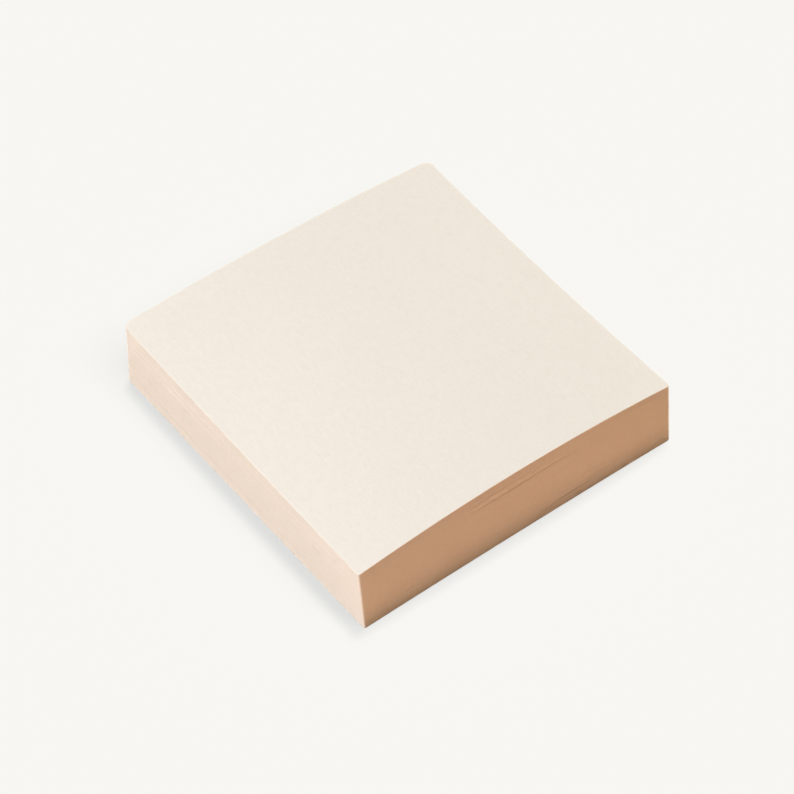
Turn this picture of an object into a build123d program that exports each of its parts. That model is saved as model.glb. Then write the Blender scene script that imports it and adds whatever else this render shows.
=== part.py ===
from build123d import *
import os
from math import sqrt

# A square sticky note pad: a block of paper notes, gummed together along one edge, that stands on
# its backing sheet. Millimetres, +Z up. The origin is the middle of the backing sheet's underside.
# +X runs along the gummed edge, and +Y points from the loose edge to the gummed edge.

# The paper, trimmed as one stack
note_width = 76.0  # along the gummed edge
note_depth = 76.0  # from the loose edge to the gummed edge
corner_radius = 1.0  # the four upright corners, worn round
note_thickness = 0.1
note_count = 144
backing_thickness = 0.15

# How the stack sits
loose_lean = 2.0  # how far the loose side leans in from its foot, up to the top note's corners
gummed_lean = 0.8  # how far the gummed side leans out over the same height
loose_crown = 2.4  # the top edge's rise from its corners to its middle, on the loose side
gummed_crown = 1.4  # the same rise on the gummed side

# Worked out from the sizes above
block_height = note_count * note_thickness  # the notes, at a corner
shoulder = backing_thickness + block_height  # the height of the top note's corners
loose_edge = loose_lean - note_depth / 2  # the y of the top note's two ends
gummed_edge = gummed_lean + note_depth / 2
crest = max(loose_crown, gummed_crown)
blank_margin = 5.0  # how far the shape that cuts the top reaches past the paper on every side


def outline_at(height):
    """The outline of the stack, lying flat at a height: further up, both its ends have slid along."""
    share = (height - backing_thickness) / block_height
    front = loose_lean * share - note_depth / 2
    back = gummed_lean * share + note_depth / 2
    return Pos(0, (front + back) / 2, height) * RectangleRounded(note_width, back - front, corner_radius)


def crown_at(y):
    """How much higher the middle of the top note is than its sides, along a line across it at y."""
    from_loose_edge = (y - loose_edge) / (gummed_edge - loose_edge)
    return loose_crown + (gummed_crown - loose_crown) * from_loose_edge


def arch_section(y):
    """An upright section across the pad at y: a wide box with an arc for its top."""
    crown = crown_at(y)
    half_width = note_width / 2
    arc_radius = (half_width**2 + crown**2) / (2 * crown)
    reach = half_width + blank_margin
    top = shoulder + crown
    eaves = top - arc_radius + sqrt(arc_radius**2 - reach**2)
    crown_arc = ThreePointArc((-reach, eaves), (0, top), (reach, eaves))
    box_sides = Polyline((reach, eaves), (reach, -blank_margin), (-reach, -blank_margin), (-reach, eaves))
    return Plane.XZ.offset(-y) * make_face(crown_arc + box_sides)


def note_block():
    """All the notes as one block, which leans towards the gummed edge and swells in the middle."""
    blank_top = shoulder + crest + blank_margin
    blank = loft([outline_at(backing_thickness), outline_at(blank_top)], ruled=True)
    front = -note_depth / 2 - blank_margin
    back = note_depth / 2 + gummed_lean + blank_margin
    under_the_crown = loft([arch_section(front), arch_section(back)], ruled=True)
    return blank & under_the_crown


def backing_sheet():
    """The flat sheet under the last note, which covers the gum on its underside."""
    return extrude(RectangleRounded(note_width, note_depth, corner_radius), amount=backing_thickness)


os.makedirs("parts", exist_ok=True)
export_step(note_block(), "parts/note_block.step")
export_step(backing_sheet(), "parts/backing_sheet.step")
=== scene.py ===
import math

import bpy
import numpy as np
from mathutils import Matrix, Vector


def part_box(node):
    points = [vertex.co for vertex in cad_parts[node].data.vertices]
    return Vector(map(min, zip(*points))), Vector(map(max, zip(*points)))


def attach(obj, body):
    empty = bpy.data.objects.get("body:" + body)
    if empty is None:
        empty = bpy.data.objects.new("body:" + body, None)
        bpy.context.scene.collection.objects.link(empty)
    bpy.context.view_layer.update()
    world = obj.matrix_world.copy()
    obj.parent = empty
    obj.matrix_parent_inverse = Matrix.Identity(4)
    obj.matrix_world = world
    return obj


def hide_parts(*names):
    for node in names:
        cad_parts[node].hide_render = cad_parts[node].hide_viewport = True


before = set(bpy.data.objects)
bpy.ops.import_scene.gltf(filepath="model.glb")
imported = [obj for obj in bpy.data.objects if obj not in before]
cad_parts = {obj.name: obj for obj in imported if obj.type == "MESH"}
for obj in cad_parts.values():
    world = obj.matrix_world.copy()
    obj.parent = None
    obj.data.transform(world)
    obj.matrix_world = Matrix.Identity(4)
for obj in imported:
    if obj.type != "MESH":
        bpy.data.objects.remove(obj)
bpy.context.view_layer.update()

mm = 0.001


# ---- Camera -------------------------------------------------------------------------------------
# A long lens looks down on the pad's front corner, between the loose edge and the left side.
# It is turned a little about its own axis, so the pad's upright corners lean in the picture.

camera_azimuth = -41.46  # the three angles are in degrees
camera_elevation = 49.57
camera_roll = 3.81
camera_distance = 554.4 * mm
camera_target = Vector((-2.76 * mm, -2.86 * mm, 8 * mm))
camera_lens = 130.1  # in millimetres, as the film is
camera_film = 36


def direction(azimuth, elevation):
    """From the pad to a place round it: azimuth 0 is off its loose edge, and 90 on its right."""
    turn = math.radians(azimuth)
    rise = math.radians(elevation)
    return Vector((
        math.sin(turn) * math.cos(rise),
        -math.cos(turn) * math.cos(rise),
        math.sin(rise),
    ))


towards_camera = direction(camera_azimuth, camera_elevation)
camera = bpy.data.objects.new("camera", bpy.data.cameras.new("camera"))
camera.data.lens = camera_lens
camera.data.sensor_width = camera_film
camera.data.clip_start = 0.01
camera.data.clip_end = 100
camera.matrix_world = (
    Matrix.Translation(camera_target + towards_camera * camera_distance)
    @ towards_camera.to_track_quat("Z", "Y").to_matrix().to_4x4()
    @ Matrix.Rotation(math.radians(camera_roll), 4, "Z")
)
bpy.context.scene.collection.objects.link(camera)
bpy.context.scene.camera = camera


# ---- Notes --------------------------------------------------------------------------------------
# Plain cream sheets, gummed together along the far edge and trimmed as one stack. The stack leans
# towards the gummed edge and swells in the middle of the loose edge, where some sheets part.

note_count = 144
notes_in_block = note_count - 1  # the top note is a piece of its own
corner_radii = (0.6 * mm, 1.7 * mm, 1.6 * mm, 0.35 * mm)  # anticlockwise from the front right
border = 2.0 * mm  # the strip round a sheet's face in which its corners turn
loose_lean = 2.0 * mm  # how far the loose side leans in, from its foot to the top note's corners
gummed_lean = 0.8 * mm  # how far the gummed side leans out over the same height
loose_twist = -0.5 * mm  # how far the top note lies to the right, at its loose edge
gummed_twist = 0.25 * mm  # and at its gummed edge
left_bow = 0.15 * mm  # how far the middle of the top note's sides has moved to the left
right_bow = 0.6 * mm
loose_crown = 2.4 * mm  # the rise of the top, from its corners to its middle, at the loose edge
gummed_crown = 1.4 * mm
loose_arch = 0.4 * mm  # the rise of the underside in the middle of the loose edge

# Where a few sheets have parted at the loose edge: the note above the gap, the middle of the gap
# along the edge, half its length, and how far it opens.
partings = [
    (111, 0.4 * mm, 14.0 * mm, 0.16 * mm),
    (125, -4.0 * mm, 12.0 * mm, 0.10 * mm),
    (133, 28.0 * mm, 7.5 * mm, 0.08 * mm),
    (18, 12.3 * mm, 6.5 * mm, 0.24 * mm),
]
parting_reach = 9 * mm  # how far a parting runs in from the loose edge
gap_unevenness = 0.3  # how much the gaps that the swell opens between the notes differ

trim_round = 0.012 * mm  # how much the knife rounds each sheet's two edges
groove_depth = 0.03 * mm  # between two notes that touch
groove_growth = 24  # how much further in a groove runs, for each unit that its gap opens
groove_limit = 3.0 * mm

# No sheet lies exactly on the next: handfuls drift together, and each is a hair out of line.
drift_spread = 0.0015 * mm  # from one note to the next
slip_spread = 0.003 * mm
tilt_spread = 0.002 * mm  # how far a note's cut edge is out of square

edge_pale = (0.87, 0.73, 0.605)
edge_deep = (0.80, 0.66, 0.535)
handfuls_per_sheet = 0.14  # the sheets of a handful are of about one tint

side_steps = 46
corner_steps = 6
crease_angle = math.radians(35)  # an edge that turns by more than this is sharp

backing_low, backing_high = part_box("backing_sheet")
half_width = (backing_high.x - backing_low.x) / 2
half_depth = (backing_high.y - backing_low.y) / 2
backing_thickness = backing_high.z - backing_low.z
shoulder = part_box("note_block")[1].z - loose_crown  # the height of the top note's corners
note_thickness = (shoulder - backing_thickness) / note_count


def outline(steps_per_side, steps_per_corner):
    """Points round a trimmed sheet, anticlockwise from the left end of the loose edge."""
    signs = [(1, -1), (1, 1), (-1, 1), (-1, -1)]
    centres = [
        np.array([right * (half_width - radius), back * (half_depth - radius)])
        for (right, back), radius in zip(signs, corner_radii)
    ]
    points = []
    for quarter, (centre, radius) in enumerate(zip(centres, corner_radii)):
        facing = math.radians(90 * quarter - 90)
        out = np.array([math.cos(facing), math.sin(facing)])
        start = centres[quarter - 1] + out * corner_radii[quarter - 1]
        end = centre + out * radius
        points += [start + (end - start) * step / steps_per_side for step in range(steps_per_side)]
        for step in range(steps_per_corner):
            angle = facing + math.radians(90) * step / steps_per_corner
            points.append(centre + radius * np.array([math.cos(angle), math.sin(angle)]))
    return np.array(points)


def inward_from(rim):
    """From each point of a rim towards the sheet's middle, by about one unit."""
    from_middle = np.linalg.norm(rim / [half_width, half_depth], axis=1, keepdims=True)
    return -rim / from_middle / half_width


def grid_inside(steps_per_side):
    """Points of a square grid inside a sheet's border."""
    across = np.linspace(border - half_width, half_width - border, steps_per_side + 1)
    back = np.linspace(border - half_depth, half_depth - border, steps_per_side + 1)
    return np.stack(np.meshgrid(across, back, indexing="ij"), axis=-1).reshape(-1, 2)


def looseness(y):
    """1 at the loose edge, 0 at the gummed edge."""
    return (1 - y / half_depth) / 2


def underside(x, y):
    """The height of the lowest note's underside: the middle of the loose edge is off the table."""
    return backing_thickness + loose_arch * (1 - (x / half_width) ** 2) * looseness(y)


def topside(x, y):
    """The height of the top note's face."""
    crown = gummed_crown + (loose_crown - gummed_crown) * looseness(y)
    return shoulder + crown * (1 - (x / half_width) ** 2)


def leaned(x, y, z, share):
    """Where a point of an upright stack lies in the leaning one. Share 0 is its foot, 1 its top."""
    to_gummed = (1 + y / half_depth) / 2
    to_right = (1 + x / half_width) / 2
    lean = loose_lean + (gummed_lean - loose_lean) * to_gummed
    twist = loose_twist + (gummed_twist - loose_twist) * to_gummed
    bow = (left_bow + (right_bow - left_bow) * to_right) * (1 - (y / half_depth) ** 2)
    return np.stack([x + (twist - bow) * share, y + lean * share, z], axis=-1)


draw = np.random.default_rng(7)
gap_shares = 1 + draw.exponential(gap_unevenness, note_count - 1)
gap_shares /= gap_shares.sum()


def note_floors(x, y):
    """The height of each note's underside over the same points of the plan, lowest note first."""
    swell = topside(x, y) - underside(x, y) - note_count * note_thickness
    swell = np.maximum(swell, 0)
    opened = np.zeros((note_count, len(x)))
    for note, middle, half_length, opening in partings:
        along = np.clip(1 - ((x - middle) / half_length) ** 2, 0, 1)
        near_edge = np.clip(1 - (y + half_depth) / parting_reach, 0, 1)
        opened[note] = opening * along * near_edge
    spread = np.maximum(swell - opened.sum(axis=0), 0)
    opened[1:] += gap_shares[:, None] * spread
    notes_below = np.arange(note_count)[:, None]
    return underside(x, y) + notes_below * note_thickness + np.cumsum(opened, axis=0)


def sheet_faces(ring, grid):
    """The faces of a sheet's upper side: its grid, and a border that follows the round corners."""
    last = len(grid) - 1
    quarter = len(ring) // 4
    beside = [
        [grid[step][0] for step in range(last + 1)],
        [grid[last][step] for step in range(last + 1)],
        [grid[last - step][last] for step in range(last + 1)],
        [grid[0][last - step] for step in range(last + 1)],
    ]
    faces = [
        (grid[i][j], grid[i + 1][j], grid[i + 1][j + 1], grid[i][j + 1])
        for i in range(last)
        for j in range(last)
    ]
    for side, inner in enumerate(beside):
        outer = [ring[(side * quarter + step) % len(ring)] for step in range(quarter + 1)]
        for step in range(last):
            faces.append((outer[step], outer[step + 1], inner[step + 1], inner[step]))
        for step in range(last, quarter):
            faces.append((outer[step], outer[step + 1], inner[last]))
    return faces


def paper_object(name, rings, under, over):
    """Paper as a solid: rings of points from its lowest edge up, a grid below and a grid above."""
    around = len(rings[0])
    grid_side = math.isqrt(len(under))
    ring_numbers = np.arange(len(rings) * around).reshape(len(rings), around)
    under_numbers = ring_numbers.size + np.arange(len(under)).reshape(grid_side, grid_side)
    over_numbers = under_numbers + len(under)
    rows = ring_numbers.tolist()
    faces = [face[::-1] for face in sheet_faces(rows[0], under_numbers.tolist())]
    for lower, upper in zip(rows[:-1], rows[1:]):
        for i in range(around):
            beyond = (i + 1) % around
            faces.append((lower[i], lower[beyond], upper[beyond], upper[i]))
    faces += sheet_faces(rows[-1], over_numbers.tolist())

    mesh = bpy.data.meshes.new(name)
    mesh.from_pydata(np.concatenate([*rings, under, over]).tolist(), [], faces)
    mesh.shade_smooth()
    mesh.set_sharp_from_angle(angle=crease_angle)
    made = bpy.data.objects.new(name, mesh)
    bpy.context.scene.collection.objects.link(made)
    return made


def number_points(piece, name, ring_values, under_value, over_value):
    """Gives each point of a piece a number that its material can read."""
    grid_size = (len(piece.data.vertices) - len(ring_values)) // 2
    values = np.concatenate([
        ring_values,
        np.full(grid_size, under_value),
        np.full(grid_size, over_value),
    ])
    piece.data.attributes.new(name, "FLOAT", "POINT").data.foreach_set("value", values)


block_rim = outline(side_steps, corner_steps)
block_inward = inward_from(block_rim)
floors = note_floors(*block_rim.T)

drift = np.cumsum(draw.normal(0, drift_spread, (note_count, 2)), axis=0)
drift -= np.linspace(0, 1, note_count)[:, None] * drift[-1]
slips = drift + draw.normal(0, slip_spread, (note_count, 2))
tilts = draw.normal(0, tilt_spread, note_count)

block_rings = []
ring_sheets = []
for note in range(notes_in_block):
    bottom = floors[note]
    top = bottom + note_thickness
    for height, inset in ((bottom + trim_round, tilts[note]), (top - trim_round, -tilts[note])):
        edge = block_rim + block_inward * inset + slips[note]
        block_rings.append(leaned(*edge.T, height, note / note_count))
        ring_sheets.append(note)
    gap = floors[note + 1] - top
    depth = np.minimum(groove_depth + groove_growth * gap, groove_limit)
    groove = block_rim + block_inward * depth[:, None]
    block_rings.append(leaned(*groove.T, top + gap / 2, (note + 0.5) / note_count))
    ring_sheets.append(note + 0.5)

block_grid = grid_inside(side_steps)
grid_floors = note_floors(*block_grid.T)
block_under = leaned(*block_grid.T, grid_floors[0] + trim_round, 0)
block_over = leaned(*block_grid.T, grid_floors[notes_in_block] - trim_round, 1)
notes = paper_object("notes", block_rings, block_under, block_over)
rim_sheets = np.repeat(ring_sheets, len(block_rim))
number_points(notes, "sheet_number", rim_sheets, 0.0, float(notes_in_block))


class Wire:
    """An output of a shader node. Sums, differences and products of wires add their Math nodes."""

    def __init__(self, tree, socket):
        self.tree = tree
        self.socket = socket

    @classmethod
    def node(cls, tree, kind, settings, inputs, output=0):
        """Adds a node: its settings first, then the value or wire of each input."""
        made = tree.nodes.new(kind)
        for name, value in settings.items():
            setattr(made, name, value)
        for name, value in inputs.items():
            if isinstance(value, Wire):
                tree.links.new(value.socket, made.inputs[name])
            else:
                made.inputs[name].default_value = value
        return cls(tree, made.outputs[output])

    def maths(self, operation, first, second):
        settings = {"operation": operation}
        return Wire.node(self.tree, "ShaderNodeMath", settings, {0: first, 1: second})

    def __add__(self, other):
        return self.maths("ADD", self, other)

    __radd__ = __add__

    def __sub__(self, other):
        return self.maths("SUBTRACT", self, other)

    def __rsub__(self, other):
        return self.maths("SUBTRACT", other, self)

    def __mul__(self, other):
        return self.maths("MULTIPLY", self, other)

    __rmul__ = __mul__


def new_material(name):
    """An empty node material, with its tree and its Principled shader."""
    material = bpy.data.materials.new(name)
    material.use_nodes = True
    tree = material.node_tree
    return material, tree, tree.nodes["Principled BSDF"]


def place_on(tree):
    """Where a point of the paper is, in metres."""
    return Wire.node(tree, "ShaderNodeTexCoord", {}, {}, "Object")


def point_number(tree, name):
    """The number that each point of a piece was given under a name, or 0 if it has none."""
    return Wire.node(tree, "ShaderNodeAttribute", {"attribute_name": name}, {}, "Fac")


def noise(tree, vector, scale, detail, roughness=0.5):
    """Noise about zero: most of it lies between -0.5 and 0.5."""
    inputs = {"Vector": vector, "Scale": scale, "Detail": detail, "Roughness": roughness}
    return Wire.node(tree, "ShaderNodeTexNoise", {}, inputs) - 0.5


def stretched(tree, vector, scale):
    """A vector, scaled along each axis: a scale below 1 draws noise out along that axis."""
    return Wire.node(tree, "ShaderNodeMapping", {}, {"Vector": vector, "Scale": scale})


def tinted(tree, amount, colour, other):
    """A mix of two colours, which are the Mix node's inputs 6 and 7 and its output 2."""
    settings = {"data_type": "RGBA", "clamp_factor": True}
    ends = [end if isinstance(end, Wire) else (*end, 1) for end in (colour, other)]
    return Wire.node(tree, "ShaderNodeMix", settings, {0: amount, 6: ends[0], 7: ends[1]}, 2)


def give_surface(tree, shader, colour, relief, strength, distance):
    """Gives paper its colour, and a relief that is too fine to build."""
    tree.links.new(colour.socket, shader.inputs["Base Color"])
    inputs = {"Strength": strength, "Distance": distance, "Height": relief}
    bump = Wire.node(tree, "ShaderNodeBump", {}, inputs, "Normal")
    tree.links.new(bump.socket, shader.inputs["Normal"])


def cut_edge_material(name, pale, deep):
    """The trimmed edges of paper: warm, matt, scored by the knife, uneven from sheet to sheet."""
    material, tree, shader = new_material(name)
    place = place_on(tree)
    up_the_stack = {"W": point_number(tree, "sheet_number") * handfuls_per_sheet, "Detail": 3.0}
    handful = Wire.node(tree, "ShaderNodeTexNoise", {"noise_dimensions": "1D"}, up_the_stack) - 0.5
    fibres = noise(tree, place, 2600, 3.0, 0.6)
    mottle = noise(tree, stretched(tree, place, (1, 1, 5)), 260, 3.0)  # patches along the sheets
    knife = noise(tree, stretched(tree, place, (1, 1, 0.05)), 1400, 2.0)  # upright scores
    depth = 0.5 + handful * 0.15 + fibres * 1.6 + mottle * 0.12 + knife * 0.4
    colour = tinted(tree, depth, pale, deep)
    relief = fibres + knife * 0.35
    give_surface(tree, shader, colour, relief, strength=0.35, distance=0.02 * mm)
    shader.inputs["Roughness"].default_value = 0.9
    shader.inputs["Specular IOR Level"].default_value = 0.25
    return material


notes.data.materials.append(cut_edge_material("cut_edges", edge_pale, edge_deep))
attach(notes, "root")
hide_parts("note_block")


# ---- Top note -----------------------------------------------------------------------------------
# The note that is peeled off next: one thin sheet of the same paper, over the swell of the stack.
# Its face is fine-grained and a little cloudy, with a painted highlight along its cut rim.

cockle = 0.04 * mm  # how far the sheet waves up from the one below

# The cut edge of the sheet, from its underside up: the share of its thickness, and how far in.
note_edge = [(0.0, trim_round), (0.12, 0.0), (0.88, 0.0), (1.0, trim_round)]

face_pale = (0.9, 0.84, 0.76)
face_deep = (0.85, 0.79, 0.70)
# A paler colour for the top note's cut rim: a painted highlight, where its edge catches the light.
face_rim_highlight = (0.91, 0.835, 0.735)
fine_side_steps = 92
fine_corner_steps = 8


def cockled(x, y):
    """The gentle waves of a sheet that has taken up a little damp."""
    across = np.sin(x / (9 * mm) + 1.3) * np.sin(y / (13 * mm) + 0.4)
    askew = np.sin((x + 0.6 * y) / (17 * mm) + 2.1)
    return cockle * (1 + 0.6 * across + 0.4 * askew) / 2


def top_note_level(plan, share):
    """Points of the top note, on its underside (share 0), its face (share 1), or between."""
    x, y = plan.T
    height = note_floors(x, y)[-1] + share * note_thickness + cockled(x, y)
    return leaned(x + slips[-1][0], y + slips[-1][1], height, 1)


fine_rim = outline(fine_side_steps, fine_corner_steps)
fine_inward = inward_from(fine_rim)
fine_grid = grid_inside(fine_side_steps)
edge_rings = [top_note_level(fine_rim + fine_inward * inset, share) for share, inset in note_edge]
top_note = paper_object(
    "top_note", edge_rings, top_note_level(fine_grid, 0), top_note_level(fine_grid, 1)
)
number_points(top_note, "trimmed", np.ones(len(edge_rings) * len(fine_rim)), 0.0, 0.0)


def note_face_material(name, pale, deep, highlight_colour):
    """The face of a note: smooth uncoated paper, with fine fibres, faint clouds and a painted
    highlight on its rim.
    """
    material, tree, shader = new_material(name)
    place = place_on(tree)
    grain = noise(tree, place, 2200, 4.0, 0.65)
    fibres = noise(tree, stretched(tree, place, (1, 0.35, 1)), 1500, 2.0)
    clouds = noise(tree, place, 45, 3.0)
    depth = 0.5 + grain * 1.9 + fibres * 1.1 + clouds * 0.5
    # Painted highlight: the cut rim and a narrow strip of the face beside it take the paler rim
    # colour.
    highlight_band = {"Value": point_number(tree, "trimmed"), "From Min": 0.75, "From Max": 0.95}
    in_highlight_band = Wire.node(tree, "ShaderNodeMapRange", {}, highlight_band)
    colour = tinted(tree, in_highlight_band, tinted(tree, depth, pale, deep), highlight_colour)
    relief = grain + fibres * 0.8
    give_surface(tree, shader, colour, relief, strength=0.3, distance=0.012 * mm)
    shader.inputs["Roughness"].default_value = 0.82
    shader.inputs["Specular IOR Level"].default_value = 0.3
    return material


top_note.data.materials.append(note_face_material("note_face", face_pale, face_deep, face_rim_highlight))
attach(top_note, "root")
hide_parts("note_block")


# ---- Backing sheet ------------------------------------------------------------------------------
# A slightly thicker sheet under the last note, which covers its gum. It follows the arch of the
# notes at the loose edge, and lies flat on the table elsewhere.

backing_edge = [(0.0, trim_round), (0.15, 0.0), (0.85, 0.0), (1.0, trim_round)]  # as note_edge
backing_pale = (0.85, 0.71, 0.58)
backing_deep = (0.80, 0.66, 0.53)


def backing_level(plan, share):
    """Points of the backing sheet, on its underside (share 0), its top (share 1), or between."""
    x, y = plan.T
    return leaned(x, y, underside(x, y) - (1 - share) * backing_thickness, 0)


backing_rings = [
    backing_level(block_rim + block_inward * inset, share) for share, inset in backing_edge
]
backing = paper_object(
    "backing", backing_rings, backing_level(block_grid, 0), backing_level(block_grid, 1)
)
backing.data.materials.append(cut_edge_material("backing_paper", backing_pale, backing_deep))
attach(backing, "root")
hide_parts("backing_sheet")


# ---- Table and studio lamps ---------------------------------------------------------------------
# A pale table that glows, so that it stays even. It takes light from two lamps alone, high on the
# right and in front, whose shadows of the pad show on it. The other lamps light the paper alone.

table_glow = (0.686, 0.690, 0.681)  # what is left of the table's brightness in the shadow
table_colour = (0.0429, 0.0408, 0.0364)
backdrop_colour = (0.93, 0.922, 0.888)
table_reach = 30.0  # metres, from the pad to each of the table's edges
soft_lamp_distance = 0.9  # metres

table_corners = [(-1, -1), (1, -1), (1, 1), (-1, 1)]
table_points = [(x * table_reach, y * table_reach, 0) for x, y in table_corners]
table = bpy.data.objects.new("table", bpy.data.meshes.new("table"))
table.data.from_pydata(table_points, [], [(0, 1, 2, 3)])
bpy.context.scene.collection.objects.link(table)
table_material, table_tree, table_shader = new_material("table")
table_shader.inputs["Base Color"].default_value = (*table_colour, 1)
table_shader.inputs["Roughness"].default_value = 1.0
table_shader.inputs["Specular IOR Level"].default_value = 0.0
table_shader.inputs["Emission Color"].default_value = (*table_glow, 1)
table_shader.inputs["Emission Strength"].default_value = 1.0
table.data.materials.append(table_material)
table.visible_diffuse = False  # the table and the backdrop are seen, but don't light the paper
table.visible_glossy = False

world = bpy.data.worlds.new("backdrop")
bpy.context.scene.world = world
world.use_nodes = True
world.node_tree.nodes["Background"].inputs["Color"].default_value = (*backdrop_colour, 1)
world.cycles_visibility.diffuse = False
world.cycles_visibility.glossy = False

bpy.context.scene.view_settings.view_transform = "Standard"

table_only = bpy.data.collections.new("table_only")
table_only.objects.link(table)
paper_only = bpy.data.collections.new("paper_only")
for piece in (notes, top_note, backing):
    paper_only.objects.link(piece)


def put_lamp(lamp, azimuth, elevation, distance):
    """Puts a lamp round the pad, facing it."""
    out = direction(azimuth, elevation)
    lamp.location = Vector((0, 0, shoulder / 2)) + out * distance
    lamp.rotation_mode = "QUATERNION"
    lamp.rotation_quaternion = out.to_track_quat("Z", "Y")
    bpy.context.scene.collection.objects.link(lamp)


def soft_lamp(name, azimuth, elevation, colour, watts, size):
    """A square soft box that lights the paper alone."""
    lamp = bpy.data.objects.new(name, bpy.data.lights.new(name, "AREA"))
    lamp.data.shape = "SQUARE"
    lamp.data.size = size
    lamp.data.energy = watts
    lamp.data.color = colour
    lamp.light_linking.receiver_collection = paper_only
    lamp.visible_camera = False
    put_lamp(lamp, azimuth, elevation, soft_lamp_distance)


def high_lamp(name, azimuth, elevation, degrees, strength, receivers):
    """A lamp so far off that only its direction counts. The wider it is, the softer its shadow."""
    lamp = bpy.data.objects.new(name, bpy.data.lights.new(name, "SUN"))
    lamp.data.energy = strength
    lamp.data.angle = math.radians(degrees)
    lamp.light_linking.receiver_collection = receivers
    put_lamp(lamp, azimuth, elevation, 1.0)


high_lamp("right_shadow_lamp", 141.6, 76, degrees=11.4, strength=11.4, receivers=table_only)
high_lamp("front_shadow_lamp", 14, 63, degrees=40, strength=7.7, receivers=table_only)
high_lamp("overhead_lamp", 128, 77.3, degrees=12, strength=1.4, receivers=paper_only)

soft_lamp("left_lamp", -90, 7, colour=(0.95, 0.965, 1), watts=6.95, size=0.2)
soft_lamp("right_lamp", 90, 7, colour=(0.96, 1, 0.95), watts=5.7, size=0.2)
soft_lamp("gummed_side_lamp", 180, 7, colour=(1, 0.85, 0.72), watts=4, size=0.2)
soft_lamp("top_lamp", -98, 60, colour=(0.96, 0.97, 1), watts=3.6, size=0.8)

# The loose side faces away from the bright lamps: a dim warm lamp lights it.
soft_lamp("loose_side_lamp", 20, 7, colour=(1, 0.61, 0.27), watts=2.0, size=0.2)

# A patch of table in front of the loose side lights it from below, as the real table does. The
# patch starts a little way off, so the lowest sheets are darker.
glow_gap = 4.5 * mm
glow_length = 94 * mm
glow_depth = 100 * mm
glow_shift = -3 * mm  # along the loose edge
glow_lift = 0.01 * mm  # just clear of the table
glow_colour = (1, 0.66, 0.46)
glow_watts = 0.044
glow = bpy.data.objects.new("loose_side_glow", bpy.data.lights.new("loose_side_glow", "AREA"))
glow.data.shape = "RECTANGLE"
glow.data.size = glow_length
glow.data.size_y = glow_depth
glow.data.energy = glow_watts
glow.data.color = glow_colour
glow.light_linking.receiver_collection = paper_only
glow.visible_camera = False
glow_middle = (glow_shift, -half_depth - glow_gap - glow_depth / 2, glow_lift)
glow.matrix_world = Matrix.Translation(glow_middle) @ Matrix.Rotation(math.pi, 4, "X")
bpy.context.scene.collection.objects.link(glow)
